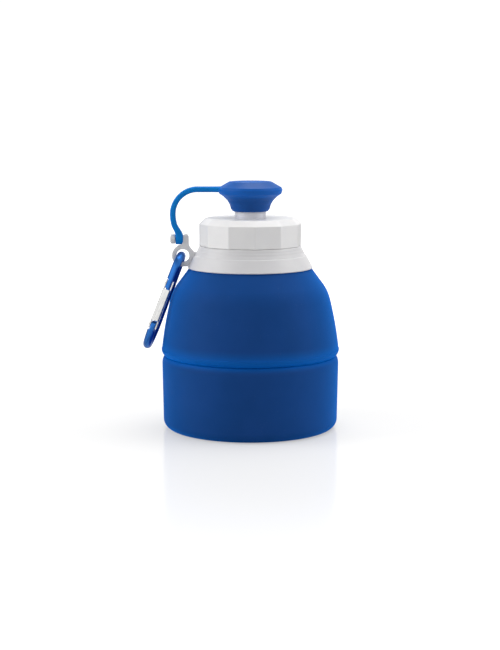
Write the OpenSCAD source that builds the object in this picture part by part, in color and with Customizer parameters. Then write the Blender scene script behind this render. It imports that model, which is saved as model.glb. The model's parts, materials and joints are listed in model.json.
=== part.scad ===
// Folding water bottle with a screw lid, a tethered spout cap and a carabiner.
// It stands on z = 0, its axis is the Z axis, and it is drawn folded, as it is carried.
// The front faces -Y. The ring, the tether and the carabiner are on the -X side.

/* [Silicone body] */
// Outer diameter of the lower cup
cup_d = 86; // [85:0.5:88]
// Height of the lower cup, up to the groove under the dome
cup_h = 35.6; // [34:0.2:38]
// Height of the wall that folds away inside the dome
fold_h = 24; // [20:1:24]
// Thickness of the silicone wall
wall = 2; // [1.8:0.1:2.1]

/* [Neck and lid] */
// Inside diameter of the drinking mouth
mouth_d = 38; // [34:1:38]
// Distance from corner to corner across the twelve-sided lid
lid_d = 49.6; // [49.2:0.2:52]
// Height of the lid
lid_h = 13.1; // [12.5:0.1:14]
// Rise of the lid in one turn
thread_pitch = 4; // [3.5:0.25:4.5]
// Diameter of the collar at its lower edge
collar_d = 60.6; // [59:0.2:61]

/* [Spout and cap] */
// Outer diameter of the drinking spout
spout_d = 15.2; // [14.6:0.1:15.4]
// Diameter of the hole through the spout
spout_bore_d = 9; // [8:0.5:10]
// Height of the spout cap
cap_h = 14.3; // [14:0.1:15]
// Diameter of the spout cap over its rim
cap_d = 31.2; // [31:0.1:32]

/* [Tether] */
// Thickness of the tether band
band_t = 2.7; // [2.4:0.1:3]
// Width of the tether band
band_w = 5.2; // [4.6:0.2:5.2]

/* [Carabiner] */
// Diameter of the carabiner's wire
wire_d = 4; // [3.6:0.1:4]
// Length of the carabiner, outside to outside
carabiner_l = 50.5; // [48:0.5:52]
// Width of the carabiner, outside to outside
carabiner_w = 24; // [22:0.5:25]
// Lean of the hanging carabiner from upright
carabiner_lean = 21; // [21:0.5:24]

/* [Hidden] */
$fn = 96;
eps = 0.02;
gap = 0.3;

body_blue = [0.09, 0.27, 0.56];
cap_blue = [0.12, 0.36, 0.66];
shell_white = [0.93, 0.93, 0.92];
frosted = [0.80, 0.83, 0.86];
anodised_blue = [0.12, 0.22, 0.55];
steel = [0.80, 0.80, 0.80];

// Silicone body: radii and levels
cup_r = cup_d / 2;
base_corner = 4.5;
cup_flare = 0.5;
base_t = 2.4;
shoulder_r = 6.5;
shoulder_turn = 33;
dome_z = cup_h + 0.5;
lip_r = 3.6;
lip_turn = 56;
lip_max_z = cup_h + 3.4;
dome_side_r = 175;
dome_side_turn = 8;
dome_side_lean = 6;
dome_bend_r = 22;
dome_bend_turn = 20.5;
dome_top_z = cup_h + 42.6;
land_t = 1.9;
hem_r = cup_r - 3.8;
web_t = 1.5;
sleeve_t = 1.6;
sleeve_lean = 8.3;
sleeve_r = hem_r - gap;
sleeve_top_z = cup_h + 0.7 + fold_h;

// Neck and collar
neck_r = mouth_d / 2 + 1.9;
neck_top_z = dome_top_z + 20.1;
neck_foot_z = dome_top_z - land_t - 1.8;
flange_r = 28.2;
flange_t = 1.5;
thread_h = 1.1;
thread_base_w = 1.7;
thread_crest_w = 0.8;
thread_turns = 1.4;
thread_steps = 36;
collar_z = dome_top_z + 0.15;
collar_h = 10.8;
collar_r = collar_d / 2;
collar_top_r = 24.5;
ledge_h = 6;
ledge_in = 0.35;
bore_r = neck_r + 2.2;
collar_lip_h = 2.7;

// Lid
lid_z = collar_z + collar_h + gap;
lid_r = lid_d / 2;
lid_top_z = lid_z + lid_h;
lid_chamfer_h = 2.7;
lid_chamfer_in = 2.8;
lid_turned = 5.5;
lid_plate_t = 2.7;
lid_bore_r = neck_r + thread_h + 0.35;
lid_inside_z = lid_top_z - lid_plate_t;
gasket_t = 1.5;

// Spout and cap
spout_r = spout_d / 2;
spout_foot_t = 1.2;
spout_foot_r = 10.5;
spout_top_z = lid_top_z + 10.8;
cap_z = lid_top_z + 3.2;
cap_top_z = cap_z + cap_h;
cap_r = cap_d / 2;
cap_foot_r = spout_r + 1.05;
cap_flare_r = 12.5;
cap_flare_start = 73;
cap_flare_turn = -44;
cap_rim_r = 1.7;
cap_rim_turn = 119;
cap_disc_r = 10.2;
dish_r = 9;
dish_depth = 0.35;
socket_r = spout_r + gap;
plug_r = spout_bore_d / 2 - 0.35;

// Ring and peg on the collar
ring_x = -32.7;
ring_z = collar_z + 5.9;
ring_r = 5.3;
ring_hole_r = 3.15;
ring_t = 3.2;
peg_z = ring_z + ring_r + band_w / 2 + 0.1;
peg_r = 1.3;
peg_head_r = 2.3;
peg_head_t = 2.6;
post_right_x = -29.8;
post_left_x = -32.4;
peg_end_x = -38.9;
post_w = 4.6;

// Tether: the band leaves the rim of the cap, bends down and ends in an eyelet on the peg
band_z = cap_z + 10.5;
bend_x = -25.5;
bend_r = 11.95;
bend_split = 40;
tail_r = 18.65;
tail_turn = 12;
tail_l = 8.2;
eyelet_hole_r = peg_r + 0.2;

// Carabiner, in its own plane: u runs to the back of the bottle, v up, w towards the bottle
wire_r = wire_d / 2;
carabiner_yaw = 4;
hook_x = ring_x - 0.75;
hook_z = ring_z - 0.05;
top_bend_r = 7;
low_bend_r = carabiner_w / 2 - wire_r;
loop_l = carabiner_l - wire_d;
low_centre_v = low_bend_r - loop_l;
leg_tilt = asin((low_bend_r - top_bend_r) / (-top_bend_r - low_centre_v));
latch_v = -14.3;
hinge_v = -35;
tongue_t = 2.3;
tongue_v = -11.8;
nose_v = -16.4;
heel_v = -37.8;
heel_r = 1.8;
notch_r = 1.1;
pin_r = 0.75;
pin_hole_r = pin_r + 0.05;
rivet_r = 1.2;
rivet_t = 0.3;
gate_w = 3.8;
sheet_t = 0.5;
gate_back = 2.4;
gate_front = 1.8;
back_from_v = -17;
back_to_v = -32.7;
spring_r = 0.85;
spring_wire_r = 0.22;
spring_turns = 7;
spring_from_v = -25.6;
spring_to_v = -32.6;
crimp_t = 0.5;

// ---- Outlines ----

// Direction of a heading in degrees
function way(a) = [cos(a), sin(a)];

// Points of an arc that leaves p at heading a and turns by t degrees, to the left when t is positive
function bend(p, a, t, r, n = 8) =
    let (side = sign(t), c = p + r * way(a + 90 * side))
    [for (i = [0:n]) c + r * way(a + t * i / n - 90 * side)];

function last(points) = points[len(points) - 1];

// The dome's wall, from its lip to where it runs under the collar, moved inwards by d
function dome_wall(d) =
    let (
        a = 90 + dome_side_lean,
        start = [cup_r + 0.1, lip_max_z] + d * way(a + 90),
        side = bend(start, a, dome_side_turn, dome_side_r - d, 6),
        turn = bend(last(side), a + dome_side_turn, dome_bend_turn, dome_bend_r - d, 8)
    )
    concat(side, turn);

// Radius of the folding walls at level z, moved inwards by d
function fold_r(z, d) = sleeve_r - d - (z - dome_z) * tan(sleeve_lean);

module revolve(points) {
    rotate_extrude() polygon(points);
}

// ---- Silicone body ----

module lower_cup() {
    top_z = dome_z - gap;
    low_r = cup_r - cup_flare;
    corner = bend([low_r - base_corner, 0], 0, 90, base_corner);
    shoulder = bend([cup_r, cup_h - 3.6], 90, shoulder_turn, shoulder_r, 5);
    crest_c = [fold_r(sleeve_top_z, sleeve_t / 2), sleeve_top_z];
    crest = [for (a = [0:30:180]) crest_c + sleeve_t * way(a)];
    inner_r = cup_r - wall;
    color(body_blue) revolve(concat(
        [[0, 0]],
        corner,
        shoulder,
        [[last(shoulder)[0] - 0.6, top_z], [sleeve_r, top_z]],
        [[fold_r(sleeve_top_z, 0), sleeve_top_z]],
        crest,
        [[fold_r(top_z, sleeve_t), top_z - 0.4]],
        [[inner_r, top_z - 2.6], [inner_r - cup_flare, base_t + 2.5], [inner_r - 3, base_t], [0, base_t]]
    ));
}

// The wall between the folded sleeve and the dome; it turns inside out as the bottle opens
module fold_web() {
    foot_z = dome_z + 3.2;
    head_z = sleeve_top_z - gap;
    out = gap + web_t;
    color(body_blue) revolve([
        [fold_r(foot_z, -out), foot_z],
        [fold_r(head_z, -out), head_z],
        [fold_r(head_z, -gap), head_z],
        [fold_r(foot_z, -gap), foot_z]
    ]);
}

module upper_dome() {
    outer = dome_wall(0);
    inner = dome_wall(wall);
    lip = bend([cup_r - 1.1, dome_z], 38, lip_turn, lip_r, 6);
    land_z = dome_top_z - land_t;
    tube_out = neck_r + 2;
    tube_z = dome_top_z + 6.2;
    inner_back = [for (i = [len(inner) - 1:-1:0]) inner[i]];
    color(body_blue) revolve(concat(
        [[hem_r, dome_z]],
        lip,
        outer,
        [[collar_r - 0.3, dome_top_z - 0.1], [collar_r - 0.6, dome_top_z]],
        [[tube_out, dome_top_z], [tube_out, tube_z], [neck_r + 0.1, tube_z], [neck_r + 0.1, land_z]],
        [[flange_r + 0.5, land_z]],
        inner_back,
        [[hem_r, dome_z + 1.6]]
    ));
}

// ---- Neck, collar and lid ----

// A thread ridge that starts at level z: a swept trapezium that fades in and out at its ends
module thread(root_r, height, z) {
    fade = 5;
    embed = 0.3 * sign(height);
    rise = thread_pitch / thread_steps;
    n = round(thread_turns * thread_steps);
    function ridge(i) = height * min(1, (min(i, n - i) + 0.5) / fade);
    function ring(i) =
        let (a = 360 * i / thread_steps, level = z + rise * i, out = root_r + ridge(i))
        [
            for (p = [
                [root_r - embed, -thread_base_w / 2], [out, -thread_crest_w / 2],
                [out, thread_crest_w / 2], [root_r - embed, thread_base_w / 2]
            ]) [p[0] * cos(a), p[0] * sin(a), level + p[1]]
        ];
    points = [for (i = [0:n]) each ring(i)];
    sides = [for (i = [0:n - 1]) for (j = [0:3])
        let (k = (j + 1) % 4) [4 * i + j, 4 * i + k, 4 * i + 4 + k, 4 * i + 4 + j]];
    faces = concat(sides, [[3, 2, 1, 0]], [[4 * n, 4 * n + 1, 4 * n + 2, 4 * n + 3]]);
    flipped = [for (f = faces) [for (k = [3:-1:0]) f[k]]];
    polyhedron(points, height > 0 ? faces : flipped);
}

module neck_insert() {
    bead_z = lid_z - 0.2;
    color(shell_white) union() {
        revolve([
            [mouth_d / 2, neck_foot_z],
            [flange_r, neck_foot_z],
            [flange_r, neck_foot_z + flange_t],
            [neck_r, neck_foot_z + flange_t],
            [neck_r, bead_z],
            [neck_r + 0.6, bead_z],
            [neck_r, bead_z + 1],
            [neck_r, neck_top_z],
            [mouth_d / 2, neck_top_z]
        ]);
        thread(neck_r, thread_h, lid_z + 2.1);
    }
}

module shoulder_collar() {
    ledge_z = collar_z + ledge_h;
    ledge_r = collar_r - (collar_r - collar_top_r) * ledge_h / collar_h;
    top_z = collar_z + collar_h;
    color(shell_white) difference() {
        union() {
            revolve([
                [bore_r, collar_z],
                [collar_r - 0.2, collar_z],
                [collar_r, collar_z + 0.4],
                [ledge_r + 0.1, ledge_z],
                [ledge_r - ledge_in, ledge_z + 0.2],
                [collar_top_r, top_z],
                [neck_r + 0.15, top_z],
                [neck_r + 0.15, top_z - collar_lip_h],
                [bore_r, top_z - collar_lip_h - 0.4]
            ]);
            ring_and_peg();
        }
        translate([ring_x, 0, ring_z]) rotate([90, 0, 0])
            cylinder(r = ring_hole_r, h = 2 * ring_t, center = true);
    }
}

// The lug moulded on the collar: a ring for the carabiner and a mushroom peg for the tether
module ring_and_peg() {
    web_x = ring_x + ring_hole_r + 1;
    translate([ring_x, 0, ring_z]) rotate([90, 0, 0]) cylinder(r = ring_r, h = ring_t, center = true);
    translate([web_x, -ring_t / 2, ring_z - 3.6]) cube([5.2, ring_t, 5.6]);
    translate([post_left_x, -ring_t / 2, ring_z + ring_hole_r + 0.6])
        cube([post_right_x - post_left_x, ring_t, peg_z - ring_z - ring_hole_r - 0.6]);
    translate([post_left_x, 0, peg_z]) rotate([0, 90, 0])
        cylinder(d = post_w, h = post_right_x - post_left_x);
    translate([peg_end_x + 0.5, 0, peg_z]) rotate([0, 90, 0])
        cylinder(r = peg_r, h = post_left_x - peg_end_x);
    translate([peg_end_x, 0, peg_z]) rotate([0, 90, 0]) cylinder(r = peg_head_r, h = peg_head_t);
}

module screw_lid() {
    straight_h = lid_h - lid_chamfer_h;
    color(shell_white) union() {
        difference() {
            translate([0, 0, lid_z]) rotate([0, 0, lid_turned]) union() {
                cylinder(r = lid_r, h = straight_h, $fn = 12);
                translate([0, 0, straight_h])
                    cylinder(r1 = lid_r, r2 = lid_r - lid_chamfer_in, h = lid_chamfer_h, $fn = 12);
            }
            translate([0, 0, lid_z - 1]) cylinder(r = lid_bore_r, h = lid_inside_z - lid_z + 1);
            cylinder(r = spout_r + 0.1, h = lid_top_z + 1);
        }
        thread(lid_bore_r, -thread_h, lid_z + 2.1 + thread_pitch / 2);
    }
}

module lid_gasket() {
    inner_r = mouth_d / 2 - 1.5;
    outer_r = lid_bore_r - thread_h - gap;
    color(frosted) revolve([
        [inner_r, lid_inside_z - gasket_t],
        [outer_r, lid_inside_z - gasket_t],
        [outer_r, lid_inside_z - 0.05],
        [inner_r, lid_inside_z - 0.05]
    ]);
}

// ---- Spout and cap ----

module drinking_spout() {
    foot_z = lid_inside_z - spout_foot_t - 0.05;
    bore = spout_bore_d / 2;
    color(frosted) revolve([
        [bore, foot_z],
        [spout_foot_r, foot_z],
        [spout_foot_r, foot_z + spout_foot_t],
        [spout_r, foot_z + spout_foot_t],
        [spout_r, spout_top_z - 0.9],
        [spout_r - 0.7, spout_top_z],
        [bore + 0.4, spout_top_z],
        [bore, spout_top_z - 0.4]
    ]);
}

module spout_cap() {
    flare = bend([cap_foot_r + 0.25, cap_z + 0.7], cap_flare_start, cap_flare_turn, cap_flare_r, 7);
    rim_a = cap_flare_start + cap_flare_turn;
    rim = bend(last(flare), rim_a, cap_rim_turn, cap_rim_r, 6);
    rim_push = cap_r - max([for (p = rim) p[0]]);
    roof_z = spout_top_z + 0.8;
    color(cap_blue) revolve(concat(
        [[socket_r, cap_z], [cap_foot_r - 0.1, cap_z]],
        flare,
        [for (p = rim) p + [rim_push, 0]],
        [[cap_disc_r + 0.9, cap_top_z - 0.5], [cap_disc_r, cap_top_z]],
        [[dish_r, cap_top_z - 0.05], [dish_r - 1, cap_top_z - dish_depth], [0, cap_top_z - dish_depth]],
        [[0, cap_z + 2.6], [plug_r - 0.5, cap_z + 2.6], [plug_r, cap_z + 3.4], [plug_r, roof_z]],
        [[socket_r, roof_z]]
    ));
}

// ---- Tether ----

// The outline of a band of thickness band_t along a centre line, as points in x and z
function band_outline(line, headings) =
    let (n = len(line) - 1, half = band_t / 2)
    concat(
        [for (i = [0:n]) line[i] + half * way(headings[i] + 90)],
        [for (i = [n:-1:0]) line[i] - half * way(headings[i] + 90)]
    );

module band(line, headings) {
    translate([0, band_w / 2, 0]) rotate([90, 0, 0])
        linear_extrude(band_w) polygon(band_outline(line, headings));
}

module tether_upper() {
    start = [-cap_r + 1.9, band_z];
    arc = bend([bend_x, band_z], 180, bend_split, bend_r, 6);
    color(cap_blue) band(
        concat([start], arc),
        concat([180], [for (i = [0:6]) 180 + bend_split * i / 6])
    );
}

module tether_lower() {
    whole = bend([bend_x, band_z], 180, 90, bend_r, 90);
    from = [for (i = [bend_split:10:90]) i];
    tail = bend(last(whole), 270, tail_turn, tail_r, 3);
    foot = last(tail) + tail_l * way(270 + tail_turn);
    pad_t = post_left_x - peg_end_x - peg_head_t - 0.2;
    pad_x = post_left_x - 0.1 - pad_t;
    color(cap_blue) difference() {
        union() {
            band(
                concat([for (i = from) whole[i] + eps * way(180 + i)], [for (i = [1:3]) tail[i]], [foot]),
                concat([for (i = from) 180 + i], [for (i = [1:3]) 270 + tail_turn * i / 3], [270 + tail_turn])
            );
            translate([pad_x, 0, peg_z]) rotate([0, 90, 0]) cylinder(d = band_w - eps, h = pad_t);
        }
        translate([pad_x - 1, 0, peg_z]) rotate([0, 90, 0]) cylinder(r = eyelet_hole_r, h = pad_t + 2);
        translate([post_left_x - 0.1, -band_w, peg_z - band_w]) cube([4, 2 * band_w, 2 * band_w]);
        translate([pad_x - 4, -band_w, peg_z - band_w]) cube([4, 2 * band_w, band_w + peg_head_r + 0.2]);
    }
}

// ---- Carabiner ----

// Puts a shape drawn in the carabiner's plane (x = u, y = v, z = w) where the carabiner hangs
module hang() {
    translate([hook_x, 0, hook_z]) rotate([0, carabiner_lean, 0]) rotate([0, 0, -carabiner_yaw])
        rotate([90, 0, 90]) children();
}

// Distance of a leg's centre line from the middle of the loop at level v
function leg_u(v) = (top_bend_r - (v + top_bend_r) * sin(leg_tilt)) / cos(leg_tilt);

// A straight length of wire; its ends run a little way into the bends, just inside their skin
module wire_bar(p, q) {
    d = q - p;
    run_in = 0.3;
    translate([p[0], p[1], 0]) rotate([0, 0, atan2(d[1], d[0])]) rotate([0, 90, 0])
        translate([0, 0, -run_in]) cylinder(r = wire_r - eps / 2, h = norm(d) + 2 * run_in, $fn = 48);
}

module wire_bend(v, r, from, sweep) {
    translate([0, v, 0]) rotate([0, 0, from]) rotate_extrude(angle = sweep)
        translate([r, 0]) circle(r = wire_r, $fn = 48);
}

module carabiner_frame() {
    tangent = way(leg_tilt);
    top_right = [0, -top_bend_r] + top_bend_r * tangent;
    low_right = [0, low_centre_v] + low_bend_r * tangent;
    top_left = [-top_right[0], top_right[1]];
    nose = [-leg_u(nose_v), nose_v];
    heel = [-leg_u(hinge_v), hinge_v];
    cut = 6;
    color(anodised_blue) hang() difference() {
        union() {
            wire_bend(-top_bend_r, top_bend_r, leg_tilt, 180 - 2 * leg_tilt);
            wire_bend(low_centre_v, low_bend_r, 180 - leg_tilt, 180 + 2 * leg_tilt);
            wire_bar(top_right, low_right);
            wire_bar(top_left, nose);
            translate([heel[0], heel[1], 0]) cylinder(r = heel_r, h = tongue_t + 1, center = true, $fn = 48);
        }
        for (side = [-1, 1]) {
            translate([-leg_u(nose_v), nose_v, side * (cut + tongue_t) / 2])
                cube([cut, 2 * (tongue_v - nose_v), cut], center = true);
            translate([heel[0], hinge_v, side * (cut + tongue_t) / 2])
                cube([2 * cut, 2 * (hinge_v - heel_v), cut], center = true);
        }
        translate([-leg_u(latch_v), latch_v, 0]) {
            cylinder(r = notch_r, h = cut, center = true, $fn = 32);
            translate([0, -notch_r, -cut / 2]) cube([cut, 2 * notch_r, cut]);
        }
        translate([heel[0], heel[1], 0]) cylinder(r = pin_r + 0.03, h = cut, center = true, $fn = 32);
    }
}

// Puts a shape on the gate's centre line: x across it, y along it from the hinge pin to the latch
module on_gate() {
    hang() translate([-leg_u(hinge_v), hinge_v, 0]) rotate([0, 0, -leg_tilt]) children();
}

module carabiner_gate() {
    reach = (latch_v - hinge_v) / cos(leg_tilt);
    back_low = back_to_v - hinge_v;
    back_high = back_from_v - hinge_v;
    crimp_at = spring_from_v - hinge_v;
    cheek_w = gate_back + gate_front;
    color(steel) on_gate() difference() {
        union() {
            for (side = [-1, 1]) translate([0, 0, side * (gate_w - sheet_t) / 2]) {
                translate([-gate_back, 0, -sheet_t / 2]) cube([cheek_w, reach, sheet_t]);
                for (y = [0, reach]) translate([(gate_front - gate_back) / 2, y, 0])
                    cylinder(d = cheek_w, h = sheet_t, center = true, $fn = 48);
            }
            translate([-gate_back, back_low, -gate_w / 2]) cube([sheet_t, back_high - back_low, gate_w]);
            translate([-gate_back, crimp_at, -gate_w / 2]) cube([cheek_w - 0.6, crimp_t, gate_w]);
        }
        for (y = [0, reach]) translate([0, y, 0])
            cylinder(r = pin_hole_r, h = 2 * gate_w, center = true, $fn = 32);
    }
}

// A rivet through the gate's two cheeks, with a head outside each
module rivet() {
    cylinder(r = pin_r, h = gate_w + 2 * eps, center = true, $fn = 32);
    for (side = [-1, 1])
        translate([0, 0, side * (gate_w / 2 + rivet_t / 2 + eps)])
            cylinder(r = rivet_r, h = rivet_t, center = true, $fn = 32);
}

module gate_hinge_pin() {
    color(steel) on_gate() rivet();
}

module gate_latch_pin() {
    reach = (latch_v - hinge_v) / cos(leg_tilt);
    color(steel) on_gate() translate([0, reach, 0]) rivet();
}

// The little coil inside the gate that pushes it shut
module gate_spring() {
    sides = 6;
    steps = 12;
    n = spring_turns * steps;
    low = spring_to_v - hinge_v;
    high = spring_from_v - hinge_v - spring_wire_r - 0.05;
    function ring(i) =
        let (a = 360 * i / steps, y = low + (high - low) * i / n)
        [for (j = [0:sides - 1])
            let (b = 360 * j / sides, r = spring_r + spring_wire_r * cos(b))
            [r * cos(a), y + spring_wire_r * sin(b), r * sin(a)]];
    points = [for (i = [0:n]) each ring(i)];
    walls = [for (i = [0:n - 1]) for (j = [0:sides - 1])
        let (k = (j + 1) % sides)
        [sides * i + j, sides * i + k, sides * (i + 1) + k, sides * (i + 1) + j]];
    ends = [[for (j = [sides - 1:-1:0]) j], [for (j = [0:sides - 1]) sides * n + j]];
    color(steel) on_gate() polyhedron(points, concat(walls, ends));
}

lower_cup();
fold_web();
upper_dome();
neck_insert();
shoulder_collar();
screw_lid();
lid_gasket();
drinking_spout();
spout_cap();
tether_lower();
tether_upper();
carabiner_frame();
carabiner_gate();
gate_hinge_pin();
gate_latch_pin();
gate_spring();
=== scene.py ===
import json
import math

import bmesh
import bpy
from mathutils import Matrix, Vector


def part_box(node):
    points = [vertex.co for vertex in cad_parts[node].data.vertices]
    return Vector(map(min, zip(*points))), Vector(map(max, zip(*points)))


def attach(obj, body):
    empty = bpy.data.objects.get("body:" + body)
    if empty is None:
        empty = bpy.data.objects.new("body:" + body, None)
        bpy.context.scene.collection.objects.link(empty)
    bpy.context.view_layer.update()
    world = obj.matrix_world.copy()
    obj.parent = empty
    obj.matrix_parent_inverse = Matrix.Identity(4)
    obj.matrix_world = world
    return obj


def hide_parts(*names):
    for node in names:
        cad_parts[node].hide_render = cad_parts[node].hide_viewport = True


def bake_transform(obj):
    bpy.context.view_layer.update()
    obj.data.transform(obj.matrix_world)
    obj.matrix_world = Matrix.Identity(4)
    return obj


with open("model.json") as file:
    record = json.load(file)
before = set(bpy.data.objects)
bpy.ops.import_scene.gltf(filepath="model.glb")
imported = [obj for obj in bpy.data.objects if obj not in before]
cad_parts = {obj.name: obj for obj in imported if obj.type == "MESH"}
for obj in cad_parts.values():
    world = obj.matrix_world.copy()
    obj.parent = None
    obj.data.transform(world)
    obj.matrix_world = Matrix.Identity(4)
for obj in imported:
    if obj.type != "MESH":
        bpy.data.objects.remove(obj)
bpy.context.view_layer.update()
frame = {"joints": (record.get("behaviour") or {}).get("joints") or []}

# Folding water bottle. Sizes are in millimetres, in the CAD model's frame: the bottle stands
# on z = 0, the front faces -Y, and the ring, the strap and the carabiner are on the -X side.
MM = 0.001
X, Z = 0, 2
# Steps of a full turn, and the degrees of a step along an eased corner
TURN_STEPS = 144
EASE_STEP = 14
# Closest that two points of a mesh may lie
MERGE = 0.001


def lowest(node, axis=Z):
    """Lowest level of a CAD node at rest, to a hundredth of a millimetre."""
    return round(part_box(node)[0][axis] / MM, 2)


def highest(node, axis=Z):
    return round(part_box(node)[1][axis] / MM, 2)


def pivot(name):
    """Where a joint's axis passes, in millimetres."""
    joint = next(joint for joint in frame["joints"] if joint["name"] == name)
    return [round(v / MM, 3) for v in joint["pos_m"]]


# Silicone body: wall, cup, dome, and the folded sleeve and web between them
WALL = 2.0
CUP_R = highest("lower_cup", X)
DOME_Z = lowest("upper_dome")
CUP_TOP = DOME_Z - 0.3
NECK_TUBE_TOP = highest("upper_dome")
DOME_TOP = NECK_TUBE_TOP - 6.2
SLEEVE_R = 38.9
SLEEVE_BEAD_R = 1.6
SLEEVE_TOP = highest("lower_cup") - SLEEVE_BEAD_R
SLEEVE_LEAN = 8.3
WEB_Z = DOME_Z + 0.9
WEB_TOP = SLEEVE_TOP + 0.2
# Neck, collar and lid
NECK_R = 20.9
NECK_FOOT = lowest("neck_insert")
NECK_TOP = highest("neck_insert")
COLLAR_Z = lowest("shoulder_collar")
COLLAR_TOP = COLLAR_Z + 10.8
COLLAR_TOP_R = 24.5
COLLAR_SLOPE = 0.485
THREAD_Z = COLLAR_TOP + 2.4
THREAD_PITCH = 4.0
THREAD_H = 1.1
LID_FOOT = COLLAR_TOP + 0.09
LID_TOP = highest("screw_lid")
LID_INSIDE = LID_TOP - 2.7
LID_BORE_R = 22.35
LID_SIDES = 12
LID_TURN = 5.5
# Spout and cap
SPOUT_R = 7.6
SPOUT_FOOT = lowest("drinking_spout")
SPOUT_TOP = highest("drinking_spout")
CAP_FOOT = lowest("spout_cap")
CAP_TOP = highest("spout_cap") - 0.35
# Ring and peg at the side, and the strap that hangs on the peg
RING_X, _, RING_Z = pivot("carabiner_swing")
PEG_Z = RING_Z + 8.0
PEG_TIP_X = lowest("shoulder_collar", X)
STRAP_W = 5.2
STRAP_T = 2.7
STRAP_Z = highest("tether_upper") - STRAP_T / 2
STRAP_BEND_X = -25.5
STRAP_BEND_R = 11.95
# Degrees round the bend at which the strap's two halves meet
STRAP_SPLIT = 40
# Carabiner: where it hangs, and its wire loop. V is the height along the loop, from its top.
HOOK_X, HOOK_Z = RING_X - 0.75, RING_Z - 0.05
HOOK_LEAN = 21.0
HOOK_YAW = 4.0
TOP_BEND_R = 7.0
LOW_BEND_R = 10.0
LOW_BEND_V = -36.5
LEG_TILT = math.degrees(math.asin((LOW_BEND_R - TOP_BEND_R) / (-TOP_BEND_R - LOW_BEND_V)))
LATCH_V = -14.3
HINGE_V = -35.0
TAB_V = -25.6
WIRE_R = 2.0
PIN_HOLE_R = 0.8


# ---- Drawing helpers ----

def way(angle):
    """Direction of a heading in degrees."""
    return Vector((math.cos(math.radians(angle)), math.sin(math.radians(angle))))


def bend(start, heading, turn, radius, steps=12):
    """Points of an arc that leaves start at a heading and turns, to the left when turn is positive."""
    side = math.copysign(90, turn)
    centre = Vector(start) + radius * way(heading + side)
    return [centre + radius * way(heading + turn * i / steps - side) for i in range(steps + 1)]


def eased(corners):
    """Corners are (r, z) or (r, z, radius): a radius turns that corner into a short arc."""
    points = []
    for i, corner in enumerate(corners):
        here = Vector(corner[:2])
        if len(corner) < 3:
            points.append(here)
            continue
        back = (Vector(corners[i - 1][:2]) - here).normalized()
        ahead = (Vector(corners[(i + 1) % len(corners)][:2]) - here).normalized()
        half = back.angle(ahead) / 2
        reach = corner[2] / math.tan(half)
        centre = here + (back + ahead).normalized() * corner[2] / math.sin(half)
        first = here + back * reach - centre
        last = here + ahead * reach - centre
        sweep = math.atan2(first.x * last.y - first.y * last.x, first.dot(last))
        steps = max(3, round(abs(math.degrees(sweep)) / EASE_STEP))
        points += [centre + Matrix.Rotation(sweep * k / steps, 2) @ first for k in range(steps + 1)]
    return points


def add_object(name, data):
    piece = bpy.data.objects.new(name, data)
    bpy.context.scene.collection.objects.link(piece)
    return piece


def mesh_piece(name, points, faces=(), edges=()):
    """A mesh object from points in millimetres."""
    mesh = bpy.data.meshes.new(name)
    mesh.from_pydata([Vector(p) * MM for p in points], list(edges), [list(f) for f in faces])
    mesh.update()
    return add_object(name, mesh)


def add_modifier(piece, kind, **settings):
    modifier = piece.modifiers.new(kind.title(), kind)
    for key, value in settings.items():
        setattr(modifier, key, value)
    return modifier


def turned(name, profile, closed=True, steps=TURN_STEPS):
    """A turned piece: a profile of (r, z) points at +X, swept round Z by a Screw modifier."""
    count = len(profile)
    edges = [(i, (i + 1) % count) for i in range(count if closed else count - 1)]
    piece = mesh_piece(name, [(p[0], 0, p[1]) for p in profile], edges=edges)
    add_modifier(piece, "SCREW", steps=steps, render_steps=steps, use_merge_vertices=True,
                 merge_threshold=MERGE * MM, use_smooth_shade=True)
    add_modifier(piece, "WEIGHTED_NORMAL", keep_sharp=True)
    return piece


def settle(piece, place=None):
    """Applies a piece's stack, and then its place."""
    graph = bpy.context.evaluated_depsgraph_get()
    mesh = bpy.data.meshes.new_from_object(piece.evaluated_get(graph), depsgraph=graph)
    mesh.name = piece.name
    if piece.type == "MESH":
        piece.modifiers.clear()
        piece.data = mesh
    else:
        name = piece.name
        bpy.data.objects.remove(piece)
        piece = add_object(name, mesh)
    if place:
        mesh.transform(place)
    return piece


def clean(piece, merge=MERGE, flatten=False):
    """Merges doubled points, drops slivers, fills open rims and turns every face outwards."""
    bm = bmesh.new()
    bm.from_mesh(piece.data)
    bmesh.ops.remove_doubles(bm, verts=bm.verts, dist=merge * MM)
    if flatten:
        bmesh.ops.dissolve_limit(bm, angle_limit=math.radians(0.3), verts=bm.verts, edges=bm.edges)
    bmesh.ops.dissolve_degenerate(bm, dist=merge * MM, edges=bm.edges)
    open_rims = [edge for edge in bm.edges if edge.is_boundary]
    if open_rims:
        bmesh.ops.holes_fill(bm, edges=open_rims, sides=0)
    bmesh.ops.recalc_face_normals(bm, faces=bm.faces)
    bm.to_mesh(piece.data)
    bm.free()
    return piece


def cut(piece, cutters, operation="DIFFERENCE"):
    """Cuts a piece with helper solids, which are then removed."""
    for cutter in cutters:
        add_modifier(piece, "BOOLEAN", operation=operation, object=cutter, solver="EXACT")
    piece = settle(piece)
    for cutter in cutters:
        bpy.data.objects.remove(cutter)
    return piece


def smooth(piece, sharp_angle=None):
    """Smooth shading; edges sharper than sharp_angle stay crisp."""
    for polygon in piece.data.polygons:
        polygon.use_smooth = True
    if sharp_angle:
        piece.data.set_sharp_from_angle(angle=math.radians(sharp_angle))
    return piece


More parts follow.
